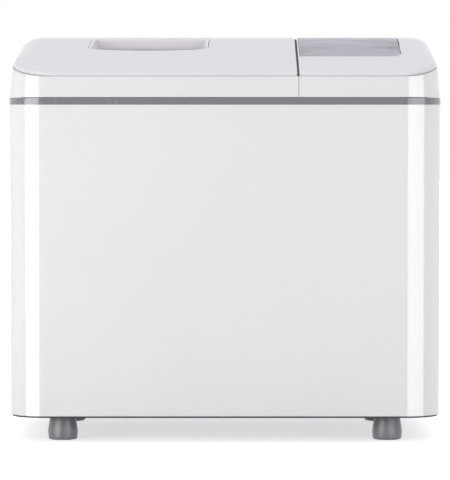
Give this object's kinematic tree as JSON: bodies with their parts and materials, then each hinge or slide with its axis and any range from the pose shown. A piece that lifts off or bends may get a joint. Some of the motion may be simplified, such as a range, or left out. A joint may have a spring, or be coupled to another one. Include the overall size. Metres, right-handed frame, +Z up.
{
  "type": "twin tub washer",
  "caption": "Compact twin tub washer: a wash tub with a pulsator and a spin tub with a basket, side by side in one rounded cabinet under two sloping hinged lids, on short round feet.",
  "frame": {"origin": "on the floor, under the middle of the cabinet", "axes": "+Z up, +X to the right seen from the front, -Y towards the person using it"},
  "size_m": [0.59, 0.356, 0.5544],
  "materials": {
    "white_gloss": "gloss",
    "grey_trim": "satin",
    "smoke_window": "gloss",
    "foot_rubber": "satin",
    "tub_plastic": "satin",
    "pulsator_plastic": "gloss",
    "basket_steel": "brushed",
    "zinc_steel": "satin",
    "dark_plastic": "satin",
    "rear_plastic": "satin",
    "black_rubber": "matte",
    "motor_enamel": "satin",
    "motor_iron": "satin",
    "cast_alloy": "satin",
    "facia_plastic": "satin",
    "knob_plastic": "gloss"
  },
  "bodies": {
    "cabinet": {"base_pan": "dark_plastic", "feet": "foot_rubber", "foot_screws": "zinc_steel", "cabinet_shell": "white_gloss", "service_cover": "rear_plastic", "service_screws": "zinc_steel", "cord_gland": "dark_plastic", "trim_band": "grey_trim", "top_deck": "tub_plastic", "wash_tub": "tub_plastic", "pulsator_seal": "black_rubber", "drain_grille": "pulsator_plastic", "lint_filter": "pulsator_plastic", "spin_tub": "tub_plastic", "spin_shaft_bellows": "black_rubber", "motor_frame": "zinc_steel", "gearbox_case": "cast_alloy", "wash_motor_case": "motor_enamel", "motor_stators": "motor_iron", "drive_belt": "black_rubber", "spin_motor_case": "motor_enamel", "spin_motor_mounts": "black_rubber", "brake_pivot": "zinc_steel", "motor_capacitor": "cast_alloy", "drain_valve_body": "dark_plastic", "wash_drain_pipe": "dark_plastic", "spin_drain_pipe": "dark_plastic", "drain_spigot": "dark_plastic", "inlet_cup": "rear_plastic", "inlet_spout": "rear_plastic", "rear_cowl": "white_gloss", "control_facia": "facia_plastic", "timer_bodies": "dark_plastic", "selector_body": "dark_plastic", "lid_switch": "dark_plastic", "hinge_pins": "zinc_steel", "hinge_brackets": "zinc_steel"},
    "wash_lid": {"wash_lid_frame": "white_gloss", "wash_lid_panel": "white_gloss", "grip_cup": "white_gloss"},
    "spin_lid": {"spin_lid_frame": "white_gloss", "spin_lid_panel": "white_gloss", "spin_window": "smoke_window"},
    "pulsator_drive": {"pulsator": "pulsator_plastic", "pulsator_shaft": "zinc_steel", "pulsator_screw": "zinc_steel", "gearbox_pulley": "cast_alloy"},
    "wash_motor_drive": {"wash_motor_rotor": "motor_iron", "wash_motor_pulley": "cast_alloy"},
    "spin_drive": {"spin_basket": "basket_steel", "basket_balance_ring": "pulsator_plastic", "basket_hub": "pulsator_plastic", "spin_motor_rotor": "motor_iron", "brake_drum": "motor_iron"},
    "brake": {"brake_lever": "zinc_steel", "brake_pad": "black_rubber"},
    "wash_timer": {"wash_timer_knob": "knob_plastic"},
    "spin_timer": {"spin_timer_knob": "knob_plastic"},
    "drain_selector": {"drain_selector_knob": "knob_plastic"},
    "drain_valve_stem": {"drain_plunger": "dark_plastic"}
  },
  "joints": [
    {"name": "wash_lid_hinge", "type": "hinge", "parent": "cabinet", "child": "wash_lid", "pos_m": [-0.0925, 0.104, 0.534], "axis": [-1, 0, 0], "range_deg": [0, 95]},
    {"name": "spin_lid_hinge", "type": "hinge", "parent": "cabinet", "child": "spin_lid", "pos_m": [0.1865, 0.104, 0.534], "axis": [-1, 0, 0], "range_deg": [0, 95]},
    {"name": "pulsator_spin", "type": "hinge", "parent": "cabinet", "child": "pulsator_drive", "pos_m": [-0.112, -0.027, 0.19], "axis": [0, 0, 1], "continuous": true},
    {"name": "wash_motor_spin", "type": "hinge", "parent": "cabinet", "child": "wash_motor_drive", "pos_m": [0.018, -0.027, 0.13], "axis": [0, 0, 1], "continuous": true},
    {"name": "spin_basket_spin", "type": "hinge", "parent": "cabinet", "child": "spin_drive", "pos_m": [0.197, -0.027, 0.21], "axis": [0, 0, 1], "continuous": true},
    {"name": "brake_lever_swing", "type": "hinge", "parent": "cabinet", "child": "brake", "pos_m": [0.15, 0.024, 0.168], "axis": [0, 0, -1], "range_deg": [0, 2]},
    {"name": "wash_timer_turn", "type": "hinge", "parent": "cabinet", "child": "wash_timer", "pos_m": [-0.18, 0.146, 0.535], "axis": [0, 0, -1], "range_deg": [0, 315]},
    {"name": "spin_timer_turn", "type": "hinge", "parent": "cabinet", "child": "spin_timer", "pos_m": [0.19, 0.146, 0.535], "axis": [0, 0, -1], "range_deg": [0, 300]},
    {"name": "drain_selector_turn", "type": "hinge", "parent": "cabinet", "child": "drain_selector", "pos_m": [0.07, 0.146, 0.535], "axis": [0, 0, -1], "range_deg": [0, 90]},
    {"name": "drain_plunger_lift", "type": "slide", "parent": "cabinet", "child": "drain_valve_stem", "axis": [0, 0, 1], "range_m": [0, 0.012]}
  ],
  "couplings": [
    {"joint": "wash_motor_spin", "follows": "pulsator_spin", "ratio": 3},
    {"joint": "brake_lever_swing", "follows": "spin_lid_hinge", "ratio": 0.02},
    {"joint": "drain_selector_turn", "follows": "drain_plunger_lift", "rad_per_m": 130.89}
  ]
}
